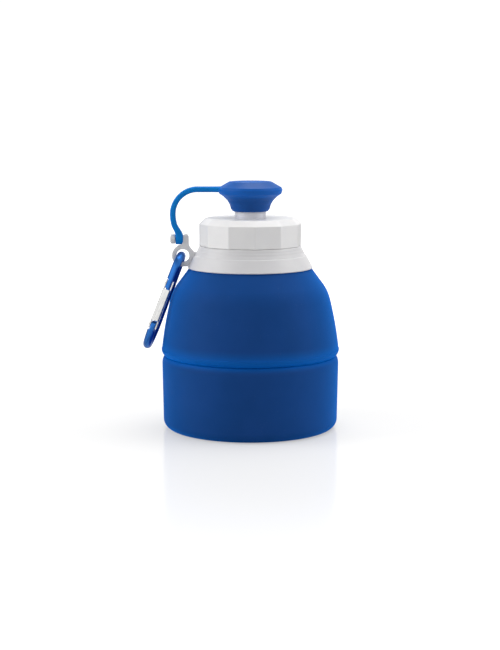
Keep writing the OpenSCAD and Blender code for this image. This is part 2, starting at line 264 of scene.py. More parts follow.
def prism(name, outline, low, high, axes=(0, 1, 2)):
    """A solid prism between two levels on the third axis. Its outline runs anticlockwise in the
    first two."""
    count = len(outline)
    points = []
    for level in (low, high):
        for p in outline:
            point = [0, 0, 0]
            point[axes[0]], point[axes[1]], point[axes[2]] = p[0], p[1], level
            points.append(point)
    sides = [(i, (i + 1) % count, count + (i + 1) % count, count + i) for i in range(count)]
    faces = [tuple(reversed(range(count))), tuple(range(count, 2 * count)), *sides]
    mirrored = axes in ((0, 2, 1), (1, 0, 2), (2, 1, 0))
    if mirrored:
        faces = [tuple(reversed(f)) for f in faces]
    return mesh_piece(name, points, faces)


def circle(centre, radius, steps=32):
    return [Vector(centre) + radius * way(360 * i / steps) for i in range(steps)]


def loft(name, sections):
    """A closed skin over sections that have the same number of points."""
    count = len(sections[0])
    points = [p for section in sections for p in section]
    faces = []
    for i in range(len(sections) - 1):
        for j in range(count):
            k = (j + 1) % count
            faces.append((i * count + j, i * count + k, (i + 1) * count + k, (i + 1) * count + j))
    last = (len(sections) - 1) * count
    faces.append(tuple(reversed(range(count))))
    faces.append(tuple(range(last, last + count)))
    return clean(mesh_piece(name, points, faces))


def finish_piece(piece, material, body, replaced=()):
    piece.data.materials.clear()
    piece.data.materials.append(material)
    if body:
        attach(piece, body)
    if replaced:
        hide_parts(*replaced)


# ---- Material helpers ----

class Graph:
    """Short words for building a node tree."""

    def __init__(self, tree):
        self.tree = tree

    def add(self, kind, settings=None, **sockets):
        made = self.tree.nodes.new("ShaderNode" + kind)
        for key, value in (settings or {}).items():
            setattr(made, key, value)
        for key, value in sockets.items():
            self.feed(made.inputs[key.replace("_", " ")], value)
        return made

    def feed(self, socket, value):
        if isinstance(value, bpy.types.NodeSocket):
            self.tree.links.new(value, socket)
        else:
            socket.default_value = value

    def math(self, operation, a, b=0.0):
        made = self.tree.nodes.new("ShaderNodeMath")
        made.operation = operation
        self.feed(made.inputs[0], a)
        self.feed(made.inputs[1], b)
        return made.outputs[0]

    def remap(self, value, low, high, to_low=0.0, to_high=1.0):
        made = self.add("MapRange", {"interpolation_type": "SMOOTHSTEP"}, Value=value, From_Min=low,
                        From_Max=high, To_Min=to_low, To_Max=to_high)
        return made.outputs[0]

    def mix(self, factor, a, b):
        made = self.add("Mix", {"data_type": "RGBA"})
        self.feed(made.inputs[0], factor)
        self.feed(made.inputs[6], a)
        self.feed(made.inputs[7], b)
        return made.outputs[2]

    def noise(self, vector, scale, detail=2.0, roughness=0.5):
        return self.add("TexNoise", Vector=vector, Scale=scale, Detail=detail,
                        Roughness=roughness).outputs[0]


def new_group(name, inputs, outputs):
    """A shader node group with named inputs (name: default) and named outputs."""
    tree = bpy.data.node_groups.new(name, "ShaderNodeTree")
    for socket, value in inputs.items():
        kind = "NodeSocketVector" if value is None else "NodeSocketFloat"
        made = tree.interface.new_socket(socket, in_out="INPUT", socket_type=kind)
        if value is not None:
            made.default_value = value
    for socket in outputs:
        tree.interface.new_socket(socket, in_out="OUTPUT", socket_type="NodeSocketFloat")
    return tree, Graph(tree), tree.nodes.new("NodeGroupInput"), tree.nodes.new("NodeGroupOutput")


def moulded_grain_group():
    """The fine tooth that a spark-eroded mould leaves, and the slow drift of colour in a moulding."""
    tree, graph, given, result = new_group(
        "moulded grain", {"Vector": None, "Grain": 5000.0, "Drift": 40.0}, ["Height", "Drift"])
    vector = given.outputs["Vector"]
    coarse = graph.noise(vector, given.outputs["Grain"], 3.0, 0.65)
    graph.feed(result.inputs["Height"], graph.remap(coarse, 0.3, 0.7))
    graph.feed(result.inputs["Drift"], graph.noise(vector, given.outputs["Drift"], 3.0, 0.55))
    return tree


def handling_group():
    """What hands and bags leave: soft smudges, settled dust and broken hairline scratches."""
    tree, graph, given, result = new_group(
        "handling marks", {"Vector": None, "Smudge": 60.0, "Dust": 900.0, "Scratch": 90.0},
        ["Smudge", "Dust", "Scratches"])
    vector = given.outputs["Vector"]
    smudge = graph.noise(vector, given.outputs["Smudge"], 4.0, 0.6)
    graph.feed(result.inputs["Smudge"], graph.remap(smudge, 0.42, 0.72))
    specks = graph.add("TexVoronoi", {"feature": "F1"}, Vector=vector, Scale=given.outputs["Dust"])
    near = graph.remap(specks.outputs["Distance"], 0.16, 0.06)
    patches = graph.remap(graph.noise(vector, 130.0, 3.0), 0.5, 0.68)
    graph.feed(result.inputs["Dust"], graph.math("MULTIPLY", near, patches))
    bent = graph.add("VectorMath", {"operation": "MULTIPLY"})
    graph.feed(bent.inputs[0], vector)
    bent.inputs[1].default_value = (1.0, 0.45, 1.6)
    lines = graph.add("TexVoronoi", {"feature": "DISTANCE_TO_EDGE"}, Vector=bent.outputs[0],
                      Scale=given.outputs["Scratch"])
    thin = graph.remap(lines.outputs["Distance"], 0.012, 0.002)
    broken = graph.remap(graph.noise(vector, 300.0, 2.0), 0.52, 0.66)
    graph.feed(result.inputs["Scratches"], graph.math("MULTIPLY", thin, broken))
    return tree


def drawn_lines_group():
    """The fine parallel lines that drawing and brushing leave in metal, along local Z."""
    tree, graph, given, result = new_group(
        "drawn lines", {"Vector": None, "Fineness": 6000.0}, ["Height", "Streak"])
    squeezed = graph.add("VectorMath", {"operation": "MULTIPLY"})
    graph.feed(squeezed.inputs[0], given.outputs["Vector"])
    squeezed.inputs[1].default_value = (1.0, 1.0, 0.03)
    fine = graph.noise(squeezed.outputs[0], given.outputs["Fineness"], 2.0, 0.6)
    graph.feed(result.inputs["Height"], fine)
    coarser = graph.math("MULTIPLY", given.outputs["Fineness"], 0.2)
    wide = graph.noise(squeezed.outputs[0], coarser, 2.0, 0.5)
    graph.feed(result.inputs["Streak"], graph.remap(wide, 0.35, 0.65))
    return tree


MOULDED_GRAIN = moulded_grain_group()
HANDLING = handling_group()
DRAWN_LINES = drawn_lines_group()
PALE_DUST = (0.45, 0.5, 0.58, 1)
GREY_GRIME = (0.36, 0.36, 0.37, 1)


def start_material(name, lean=0.0):
    """A material with its Principled shader and the coordinates that its patterns use, which may
    lean about Y to run along a part."""
    material = bpy.data.materials.new(name)
    material.use_nodes = True
    graph = Graph(material.node_tree)
    shader = material.node_tree.nodes["Principled BSDF"]
    coordinates = graph.add("TexCoord")
    mapping = graph.add("Mapping", Vector=coordinates.outputs["Object"])
    mapping.inputs["Rotation"].default_value = (0, math.radians(lean), 0)
    return material, graph, shader, mapping.outputs[0]


def add_group(graph, tree, **sockets):
    made = graph.tree.nodes.new("ShaderNodeGroup")
    made.node_tree = tree
    for key, value in sockets.items():
        graph.feed(made.inputs[key], value)
    return made.outputs


def add_bump(graph, shader, height, distance, strength=1.0):
    bump = graph.add("Bump", Height=height, Distance=distance, Strength=strength)
    graph.feed(shader.inputs["Normal"], bump.outputs[0])


def silicone(name, deep, pale, roughness, sheen, gloss, grain=5200.0, lip=None):
    """Soft matte silicone rubber with a fine tooth, a slow drift of colour and a little settled dust.
    A thin lip lets light through, so it may take a painted glow: a brighter colour standing in for that
    light, which comes in over the rise and goes out over the fall, which are pairs of levels."""
    material, graph, shader, vector = start_material(name)
    skin = add_group(graph, MOULDED_GRAIN, Vector=vector, Grain=grain, Drift=38.0)
    marks = add_group(graph, HANDLING, Vector=vector, Smudge=55.0, Dust=750.0, Scratch=80.0)
    colour = graph.mix(graph.remap(skin["Drift"], 0.3, 0.7), (*deep, 1), (*pale, 1))
    if lip:
        # painted glow: a brighter blue painted over a band of levels, standing in for light that shines
        # through the thin lip
        glow_colour, rise, fall = lip
        level = graph.add("SeparateXYZ", Vector=vector).outputs["Z"]
        under = graph.remap(level, rise[0] * MM, rise[1] * MM)
        over = graph.remap(level, fall[0] * MM, fall[1] * MM, 1.0, 0.0)
        colour = graph.mix(graph.math("MULTIPLY", under, over), colour, (*glow_colour, 1))
    colour = graph.mix(graph.math("MULTIPLY", marks["Dust"], 0.05), colour, PALE_DUST)
    graph.feed(shader.inputs["Base Color"], colour)
    rough = graph.math("MULTIPLY_ADD", marks["Smudge"], -0.07)
    rough.node.inputs[2].default_value = roughness + 0.03
    tooth = graph.math("MULTIPLY_ADD", skin["Height"], 0.05)
    graph.feed(tooth.node.inputs[2], rough)
    graph.feed(shader.inputs["Roughness"], tooth)
    add_bump(graph, shader, skin["Height"], 0.000012, 0.6)
    shader.inputs["IOR"].default_value = 1.42
    shader.inputs["Specular IOR Level"].default_value = gloss
    shader.inputs["Sheen Weight"].default_value = sheen
    shader.inputs["Sheen Roughness"].default_value = 0.5
    shader.inputs["Sheen Tint"].default_value = (0.0, 0.25, 1.0, 1)
    return material


def hard_plastic(name, colour, shade, roughness, coat=0.0):
    """Moulded polypropylene: slightly milky, with hairlines and handling smudges."""
    material, graph, shader, vector = start_material(name)
    skin = add_group(graph, MOULDED_GRAIN, Vector=vector, Grain=2400.0, Drift=70.0)
    marks = add_group(graph, HANDLING, Vector=vector, Smudge=80.0, Dust=1100.0, Scratch=150.0)
    tint = graph.mix(graph.remap(skin["Drift"], 0.3, 0.7), (*colour, 1), (*shade, 1))
    grime = graph.math("MULTIPLY", graph.math("MAXIMUM", marks["Dust"], marks["Scratches"]), 0.05)
    tint = graph.mix(grime, tint, GREY_GRIME)
    graph.feed(shader.inputs["Base Color"], tint)
    rough = graph.math("MULTIPLY_ADD", marks["Smudge"], 0.05)
    rough.node.inputs[2].default_value = roughness
    worn = graph.math("MULTIPLY_ADD", marks["Scratches"], 0.10)
    graph.feed(worn.node.inputs[2], rough)
    graph.feed(shader.inputs["Roughness"], worn)
    relief = graph.math("SUBTRACT", skin["Height"], graph.math("MULTIPLY", marks["Scratches"], 0.25))
    add_bump(graph, shader, relief, 0.000006, 0.5)
    shader.inputs["IOR"].default_value = 1.49
    shader.inputs["Coat Weight"].default_value = coat
    shader.inputs["Coat Roughness"].default_value = 0.08
    shader.inputs["Subsurface Weight"].default_value = 0.12
    shader.inputs["Subsurface Radius"].default_value = (0.0012, 0.0011, 0.001)
    shader.inputs["Subsurface Scale"].default_value = 1.0
    return material


def frosted_plastic(name, colour, roughness):
    """Milky see-through plastic of the spout."""
    material, graph, shader, vector = start_material(name)
    skin = add_group(graph, MOULDED_GRAIN, Vector=vector, Grain=3200.0, Drift=120.0)
    marks = add_group(graph, HANDLING, Vector=vector, Smudge=150.0, Dust=1500.0, Scratch=260.0)
    shade = [c * 0.9 for c in colour]
    tint = graph.mix(graph.remap(skin["Drift"], 0.3, 0.7), (*colour, 1), (*shade, 1))
    graph.feed(shader.inputs["Base Color"], tint)
    rough = graph.math("MULTIPLY_ADD", marks["Smudge"], 0.12)
    rough.node.inputs[2].default_value = roughness
    graph.feed(shader.inputs["Roughness"], rough)
    add_bump(graph, shader, skin["Height"], 0.000008, 0.5)
    shader.inputs["IOR"].default_value = 1.5
    shader.inputs["Transmission Weight"].default_value = 0.2
    return material


def metal(name, colour, worn, roughness, fineness, wear):
    """Drawn or rolled metal: fine lines along the carabiner, with paler rubbed places."""
    material, graph, shader, vector = start_material(name, -HOOK_LEAN)
    lines = add_group(graph, DRAWN_LINES, Vector=vector, Fineness=fineness)
    marks = add_group(graph, HANDLING, Vector=vector, Smudge=260.0, Dust=2200.0, Scratch=420.0)
    rubbed = graph.math("MULTIPLY", graph.math("MAXIMUM", marks["Scratches"], marks["Dust"]), wear)
    tint = graph.mix(rubbed, (*colour, 1), (*worn, 1))
    streak = [c * 0.72 for c in colour]
    tint = graph.mix(graph.math("MULTIPLY", lines["Streak"], 0.25), tint, (*streak, 1))
    graph.feed(shader.inputs["Base Color"], tint)
    rough = graph.math("MULTIPLY_ADD", marks["Smudge"], 0.12)
    rough.node.inputs[2].default_value = roughness
    streaked = graph.math("MULTIPLY_ADD", lines["Streak"], 0.06)
    graph.feed(streaked.node.inputs[2], rough)
    graph.feed(shader.inputs["Roughness"], streaked)
    add_bump(graph, shader, lines["Height"], 0.000004, 0.4)
    shader.inputs["Metallic"].default_value = 1.0
    return material


BODY_DEEP = (0.006, 0.046, 0.190)
BODY_PALE = (0.008, 0.051, 0.213)
CAP_GRAIN = 6400.0
# Levels between which the painted glow on the thin lips round the fold and the cap's rim comes in and goes
# out
FOLD_LIP_GLOW = ((DOME_Z - 3.1, DOME_Z + 0.1), (DOME_Z + 0.9, DOME_Z + 7.9))
RIM_LIP_GLOW = ((CAP_TOP - 8.2, CAP_TOP - 5.7), (CAP_TOP - 3.7, CAP_TOP - 1.2))

# the cup and dome carry a painted glow on the fold's thin lips: a brighter blue standing in for light that
# shines through them
CUP_SILICONE = silicone("cup silicone", BODY_DEEP, BODY_PALE, 0.55, 1.0, 0.08,
                        lip=((0.001, 0.092, 0.39), *FOLD_LIP_GLOW))
FOLD_SILICONE = silicone("fold silicone", BODY_DEEP, BODY_PALE, 0.55, 1.0, 0.08)
# the cap carries a painted glow round its rim: a brighter blue band standing in for light that shines
# through the thin silicone
CAP_SILICONE = silicone("cap silicone", (0.001, 0.056, 0.25), (0.002, 0.063, 0.28), 0.4, 0.6, 0.28,
                        CAP_GRAIN, lip=((0.000, 0.095, 0.43), *RIM_LIP_GLOW))
# the strap is painted a brighter blue than the cap's silicone, standing in for light that shines through
# the thin strap
STRAP_GLOW_SILICONE = silicone("strap silicone", (0.000, 0.175, 0.56), (0.000, 0.190, 0.60), 0.4, 0.0,
                          0.15, CAP_GRAIN)
GASKET_SILICONE = silicone("gasket silicone", (0.50, 0.52, 0.55), (0.58, 0.60, 0.62), 0.5, 0.0,
                           0.3, CAP_GRAIN)
LID_PLASTIC = hard_plastic("lid plastic", (0.82, 0.815, 0.815), (0.79, 0.785, 0.79), 0.29, 0.08)
COLLAR_PLASTIC = hard_plastic("collar plastic", (0.68, 0.675, 0.685), (0.65, 0.645, 0.66), 0.33)
NECK_PLASTIC = hard_plastic("neck plastic", (0.70, 0.70, 0.71), (0.64, 0.64, 0.66), 0.25)
SPOUT_PLASTIC = frosted_plastic("spout plastic", (0.88, 0.875, 0.93), 0.3)
ANODISED_BLUE = metal("anodised blue", (0.042, 0.21, 0.68), (0.28, 0.45, 0.70), 0.3, 5200.0, 0.25)
GATE_SHEET = metal("gate sheet", (0.86, 0.86, 0.85), (0.94, 0.94, 0.94), 0.2, 7000.0, 0.6)
PIN_STEEL = metal("pin steel", (0.62, 0.62, 0.62), (0.85, 0.85, 0.85), 0.26, 7000.0, 0.6)
SPRING_STEEL = metal("spring steel", (0.42, 0.42, 0.43), (0.7, 0.7, 0.7), 0.3, 9000.0, 0.4)


# ---- Silicone body ----

def fold_r(level, depth):
    """Radius of the folded walls at a level, moved inwards by depth."""
    return SLEEVE_R - depth - (level - DOME_Z) * math.tan(math.radians(SLEEVE_LEAN))


def dome_wall(depth):
    """The dome's wall from its lip to where it runs under the collar, moved inwards by depth."""
    heading, side_turn, shoulder_turn = 96, 8, 20.5
    start = Vector((43.1, 39.0)) + depth * way(heading + 90)
    side = bend(start, heading, side_turn, 175 - depth, 16)
    shoulder = bend(side[-1], heading + side_turn, shoulder_turn, 22 - depth, 12)
    return side + shoulder[1:]


def pairs(points):
    """Points as plain corners for eased."""
    return [tuple(p) for p in points]


def make_cup():
    """Base with its foot ring, outer wall, and the sleeve folded up inside the dome."""
    base, foot_r, foot_bend, sleeve = 2.4, 38.0, 4.5, 1.6
    inside_r = CUP_R - WALL
    recess_r, recess, well_r, well = 34.0, 0.6, 2.8, 0.9
    shoulder = bend((CUP_R, 32.0), 90, 33, 6.5, 10)
    corner = bend((foot_r, 0), 0, 90, foot_bend, 12)
    bead_centre = Vector((fold_r(SLEEVE_TOP, sleeve / 2), SLEEVE_TOP))
    bead = [bead_centre + SLEEVE_BEAD_R * way(180 - 12 * i) for i in range(16)]
    profile = eased([
        (0, base), (foot_r, base, 3), (inside_r - 0.5, 5.0, 2), (inside_r, CUP_TOP - 2.6, 2),
        (fold_r(CUP_TOP, sleeve), CUP_TOP - 0.4, 1.5), *pairs(bead),
        (SLEEVE_R + 0.04, CUP_TOP, 0.5), (shoulder[-1].x - 0.6, CUP_TOP, 0.3),
        *pairs(reversed(shoulder)), *pairs(reversed(corner)),
        (recess_r + 0.5, 0, 0.4), (recess_r, recess, 0.4), (well_r + 0.4, recess, 0.3),
        (well_r, well, 0.2), (0, well)
    ])
    cup = turned("cup_shell", profile, closed=False)
    finish_piece(cup, CUP_SILICONE, "cup", ["lower_cup"])


def make_dome():
    """The dome with its rolled lip, and the tube that the collar grips round the neck."""
    hem_r = 39.2
    lip = bend((41.9, DOME_Z), 38, 56, 3.6, 14)
    tube_in, tube_out = NECK_R + 0.1, NECK_R + 2
    land = DOME_TOP - 1.9
    profile = eased([
        (29.7, DOME_TOP, 0.4), *pairs(reversed(dome_wall(0))), *pairs(reversed(lip)),
        (hem_r, DOME_Z, 0.4), (hem_r, DOME_Z + 1.6, 0.4), *pairs(dome_wall(WALL)),
        (28.7, land, 1.0), (tube_in, land, 0.3), (tube_in, NECK_TUBE_TOP, 0.3),
        (tube_out, NECK_TUBE_TOP, 0.4), (tube_out, DOME_TOP, 0.8)
    ])
    dome = turned("dome_shell", profile)
    finish_piece(dome, CUP_SILICONE, "top", ["upper_dome"])


def make_fold_wall():
    """The wall between sleeve and dome, built at rest; on the bottle it turns inside out as the dome rises
    from the cup.
    """
    rows = 44
    thick, middle = 1.5, -1.05
    levels = [WEB_Z + (WEB_TOP - WEB_Z) * i / rows for i in range(rows + 1)]
    line = [(fold_r(level, middle), level) for level in levels]
    rim_r = line[-1][0]
    line += [(rim_r - 0.3, WEB_TOP + 0.7), (rim_r - 0.9, WEB_TOP + 1.2)]
    wall = turned("fold_wall", list(reversed(line)), closed=False)
    add_modifier(wall, "SOLIDIFY", thickness=thick * MM, offset=0.0, use_even_offset=True)
    wall = settle(wall)
    finish_piece(wall, FOLD_SILICONE, None, ["fold_web"])
    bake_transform(wall)


# ---- Neck, collar and lid ----

def thread_ridge(name, root_r, height, start, turns=1.4, per_turn=96):
    """A thread ridge that fades in and out at its ends. A negative height points inwards."""
    count = round(turns * per_turn)
    fade = 14
    foot_half, crest_half = 0.85, 0.5
    foot_r = root_r - math.copysign(0.3, height)
    sections = []
    for i in range(count + 1):
        level = start + THREAD_PITCH * i / per_turn
        grow = min(1.0, (min(i, count - i) + 0.2) / fade)
        out = root_r + height * grow * (2 - grow)
        crest_r = out - 0.18 * height * grow
        shape = [(foot_r, -foot_half), (crest_r, -crest_half), (out, -0.3), (out, 0.3),
                 (crest_r, crest_half), (foot_r, foot_half)]
        if height < 0:
            shape.reverse()
        d = way(360 * i / per_turn)
        sections.append([(r * d.x, r * d.y, level + z) for r, z in shape])
    return smooth(loft(name, sections), 50)


def make_neck():
    """The stiff insert: a flange under the dome, a stop ridge over the collar, and the thread."""
    bore_r, flange_r, flange_top = 19.0, 28.2, NECK_FOOT + 1.5
    stop_r, stop_low, stop_high = NECK_R + 0.6, COLLAR_TOP + 0.1, COLLAR_TOP + 1.1
    profile = eased([
        (bore_r, NECK_TOP, 0.5), (NECK_R, NECK_TOP, 0.6), (NECK_R, stop_high, 0.3),
        (stop_r, stop_low + 0.35, 0.2), (stop_r, stop_low, 0.1), (NECK_R, stop_low),
        (NECK_R, flange_top, 0.5), (flange_r, flange_top, 0.5), (flange_r, NECK_FOOT, 0.5),
        (bore_r, NECK_FOOT, 0.8)
    ])
    tube = turned("neck_tube", profile)
    finish_piece(tube, NECK_PLASTIC, "top", ["neck_insert"])
    ridge = thread_ridge("neck_thread", NECK_R, THREAD_H, THREAD_Z)
    finish_piece(ridge, NECK_PLASTIC, "top")


def make_collar():
    """A cone with two fine grooves and a step. Its inside clamps the silicone tube on the neck."""
    step_z, foot_r = COLLAR_TOP - 4.55, 30.3
    bore_r, clamp_r, clamp_top = 21.05, 23.1, COLLAR_Z + 7.7

    def cone_r(level, inset=0.0):
        return COLLAR_TOP_R + (COLLAR_TOP - level) * COLLAR_SLOPE - inset

    def groove(level, half=0.2, deep=0.2):
        return [(cone_r(level + half), level + half), (cone_r(level, deep), level),
                (cone_r(level - half), level - half)]

    profile = eased([
        (bore_r, COLLAR_TOP, 0.3), (cone_r(COLLAR_TOP), COLLAR_TOP, 0.2),
        *groove(COLLAR_TOP - 1.4), *groove(COLLAR_TOP - 2.85),
        (cone_r(step_z), step_z, 0.15), (27.18, step_z - 0.25, 0.12),
        (foot_r, COLLAR_Z + 0.4, 0.3), (foot_r - 0.2, COLLAR_Z, 0.15), (clamp_r, COLLAR_Z, 0.3),
        (clamp_r, clamp_top, 0.3), (bore_r, clamp_top + 0.4, 0.3)
    ])
    cone = turned("collar_cone", profile)
    finish_piece(cone, COLLAR_PLASTIC, "top", ["shoulder_collar"])


def make_lug():
    """The ring for the carabiner and the post for the peg, moulded on the collar in one flat web."""
    centre = Vector((RING_X, RING_Z))
    ring_r, hole_r = 5.3, 3.15
    half, soften = 1.6, 0.4
    root_x, root_low, root_high = -25.0, RING_Z - 5.15, RING_Z + 1.75
    post_left, post_right, post_top = -32.4, -29.8, PEG_Z + 2.35
    ring = [centre + ring_r * way(-84 - 4 * i) for i in range(46)]
    outline = eased([
        (root_x, root_low), *pairs(ring), (post_left, post_top, 1.25), (post_right, post_top, 1.25),
        (post_right, RING_Z + 4.75, 4.0), (-28.1, root_high + 1.0, 1.2), (-27.3, root_high, 0.6),
        (root_x, root_high)
    ])
    curve = bpy.data.curves.new("collar_lug", "CURVE")
    curve.dimensions = "2D"
    curve.fill_mode = "BOTH"
    curve.extrude = (half - soften) * MM
    curve.bevel_depth = soften * MM
    curve.bevel_resolution = 3
    curve.offset = -soften * MM
    for line in (outline, circle(centre, hole_r, 64)):
        spline = curve.splines.new("POLY")
        spline.points.add(len(line) - 1)
        for point, p in zip(spline.points, line):
            point.co = (p[0] * MM, p[1] * MM, 0, 1)
        spline.use_cyclic_u = True
    lug = settle(add_object("collar_lug", curve), Matrix.Rotation(math.radians(90), 4, "X"))
    smooth(clean(lug), 40)
    add_modifier(lug, "WEIGHTED_NORMAL", keep_sharp=True)
    finish_piece(lug, COLLAR_PLASTIC, "top")


def make_peg():
    """A mushroom peg, turned about Z and then laid along X with its head outwards."""
    stem_r, head_r, head, length = 1.3, 2.3, 2.6, 6.9
    peg = turned("collar_peg", eased([
        (0, length), (stem_r, length), (stem_r, head, 0.2), (head_r, head, 0.35),
        (head_r, 0.5, 0.7), (stem_r, 0.0, 0.8), (0, 0)
    ]), closed=False, steps=48)
    place = Matrix.Translation(Vector((PEG_TIP_X, 0, PEG_Z)) * MM)
    peg = settle(peg, place @ Matrix.Rotation(math.radians(90), 4, "Y"))
    finish_piece(peg, COLLAR_PLASTIC, "top")


def make_lid():
    """Twelve flats with a chamfer. Every ring of the cage has eight points to a flat."""
    per_side = 8
    count = LID_SIDES * per_side
    side_turn = 360 / LID_SIDES
    corner_r, chamfer_r, chamfer_z = 24.8, 22.0, LID_TOP - 2.7
    spout_hole_r = SPOUT_R + 0.1

    def flats(radius, level):
        corners = [radius * way(LID_TURN + side_turn * i) for i in range(LID_SIDES + 1)]
        line = [corners[i].lerp(corners[i + 1], k / per_side)
                for i in range(LID_SIDES) for k in range(per_side)]
        return [(p.x, p.y, level) for p in line]

    def round_ring(radius, level):
        return [(*(radius * way(LID_TURN + 360 * i / count)), level) for i in range(count)]

    rings = [
        round_ring(spout_hole_r, LID_TOP), flats(chamfer_r, LID_TOP), flats(corner_r, chamfer_z),
        flats(corner_r, LID_FOOT), round_ring(LID_BORE_R, LID_FOOT),
        round_ring(LID_BORE_R, LID_INSIDE), round_ring(spout_hole_r, LID_INSIDE)
    ]
    points = [p for ring in rings for p in ring]
    faces = []
    for i in range(len(rings)):
        j = (i + 1) % len(rings)
        for k in range(count):
            m = (k + 1) % count
            faces.append((i * count + k, j * count + k, j * count + m, i * count + m))
    lid = smooth(mesh_piece("lid_shell", points, faces))
    add_modifier(lid, "BEVEL", width=0.22 * MM, segments=3, limit_method="ANGLE",
                 angle_limit=math.radians(22), use_clamp_overlap=True)
    add_modifier(lid, "WEIGHTED_NORMAL", keep_sharp=True)
    finish_piece(lid, LID_PLASTIC, "lid", ["screw_lid"])
    ridge = thread_ridge("lid_thread", LID_BORE_R, -THREAD_H, THREAD_Z + THREAD_PITCH / 2)
    finish_piece(ridge, LID_PLASTIC, "lid")


def make_seal_ring():
    """The seal, squeezed between the neck's rim and the lid's roof."""
    in_r, out_r, low, high = 17.5, 20.95, NECK_TOP + 0.05, LID_INSIDE - 0.05
    ring = turned("seal_ring", eased([
        (in_r, high, 0.3), (out_r, high, 0.3), (out_r, low, 0.4), (in_r, low, 0.4)
    ]))
    finish_piece(ring, GASKET_SILICONE, "lid_lift", ["lid_gasket"])


# ---- Spout and cap ----

def make_spout():
    """A tube with a rounded lip, and a foot flange held under the lid's roof."""
    bore_r, foot_r, foot_top = 4.5, 10.5, LID_INSIDE - 0.05
    profile = eased([
        (bore_r + 0.4, SPOUT_TOP, 0.3), (SPOUT_R - 0.7, SPOUT_TOP, 0.4), (SPOUT_R, SPOUT_TOP - 0.9, 0.8),
        (SPOUT_R, foot_top), (foot_r, foot_top, 0.2), (foot_r, SPOUT_FOOT, 0.2),
        (bore_r, SPOUT_FOOT, 0.3), (bore_r, SPOUT_TOP - 0.45, 0.4)
    ])
    spout = turned("spout_tube", profile, steps=96)
    finish_piece(spout, SPOUT_PLASTIC, "lid", ["drinking_spout"])


def make_cap():
    """Top disc with a dimple, a wide rim, a flared skirt, and inside it the socket and its plug."""
    socket_r, socket_top = SPOUT_R + 0.3, SPOUT_TOP + 0.8
    plug_r, plug_foot = 4.15, SPOUT_TOP - 5.0
    profile = eased([
        (0, CAP_TOP - 0.4), (0.55, CAP_TOP - 0.35, 0.2), (0.85, CAP_TOP, 0.25), (8.0, CAP_TOP, 0.8),
        (9.1, CAP_TOP + 0.32, 0.3), (10.2, CAP_TOP + 0.3, 0.5),
        (14.95, CAP_TOP - 2.4, 0.6), (15.6, CAP_TOP - 3.5, 0.9), (15.0, CAP_TOP - 5.5, 1.0),
        (13.1, CAP_TOP - 6.75, 2.5), (11.1, CAP_TOP - 8.7, 4.0), (9.95, CAP_FOOT + 3.25, 3.0),
        (9.35, CAP_FOOT + 1.15, 1.2), (8.5, CAP_FOOT, 0.5), (socket_r, CAP_FOOT, 0.2),
        (socket_r, socket_top, 0.4), (plug_r, socket_top, 0.4),
        (plug_r, plug_foot + 0.8, 0.5), (plug_r - 0.5, plug_foot, 0.3), (0, plug_foot)
    ])
    cap = turned("cap_body", profile, closed=False)
    finish_piece(cap, CAP_SILICONE, "cap", ["spout_cap"])


# ---- Strap ----

def strap_section(outer, inner, half_width):
    """A rounded rectangle across the strap between an outer and an inner point in x and z."""
    outer, inner = Vector(outer), Vector(inner)
    thick = (outer - inner).length
    round_r = min(1.05, half_width * 0.8, thick * 0.42)
    box = eased([(-half_width, 0, round_r), (half_width, 0, round_r), (half_width, thick, round_r),
                 (-half_width, thick, round_r)])
    across = (outer - inner).normalized()
    return [(inner.x + across.x * t, w, inner.y + across.y * t) for w, t in box]


def band_edges(line, headings):
    """Outer and inner points of the strap along a line."""
    half = STRAP_T / 2
    return [(p + half * way(h - 90), p + half * way(h + 90)) for p, h in zip(line, headings)]


def strap_bend(first, last):
    """Points and headings along the strap's bend, every two degrees from first to last."""
    line = bend((STRAP_BEND_X, STRAP_Z), 180, 90, STRAP_BEND_R, 90)
    steps = range(first, last + 1, 2)
    return [line[i] for i in steps], [180 + i for i in steps]


def make_strap_upper():
    """The half that leaves the cap's rim, where it is flared, and starts the bend."""
    line, headings = strap_bend(0, STRAP_SPLIT)
    start = [Vector((x, STRAP_Z)) for x in (-12.6, -14.2, -15.6, -17.4, -20.0, -22.6)]
    flare = [1.5, 1.1, 0.55, 0.15]
    edges = band_edges(start + line, [180] * len(start) + headings)
    sections = []
    for i, (outer, inner) in enumerate(edges):
        wide = flare[i] if i < len(flare) else 0
        sections.append(strap_section(outer, inner, STRAP_W / 2 + wide))
    strap = smooth(loft("strap_upper", sections), 60)
    add_modifier(strap, "WEIGHTED_NORMAL", keep_sharp=True)
    strap = settle(strap)
    finish_piece(strap, STRAP_GLOW_SILICONE, None, ["tether_upper"])
    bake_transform(strap)


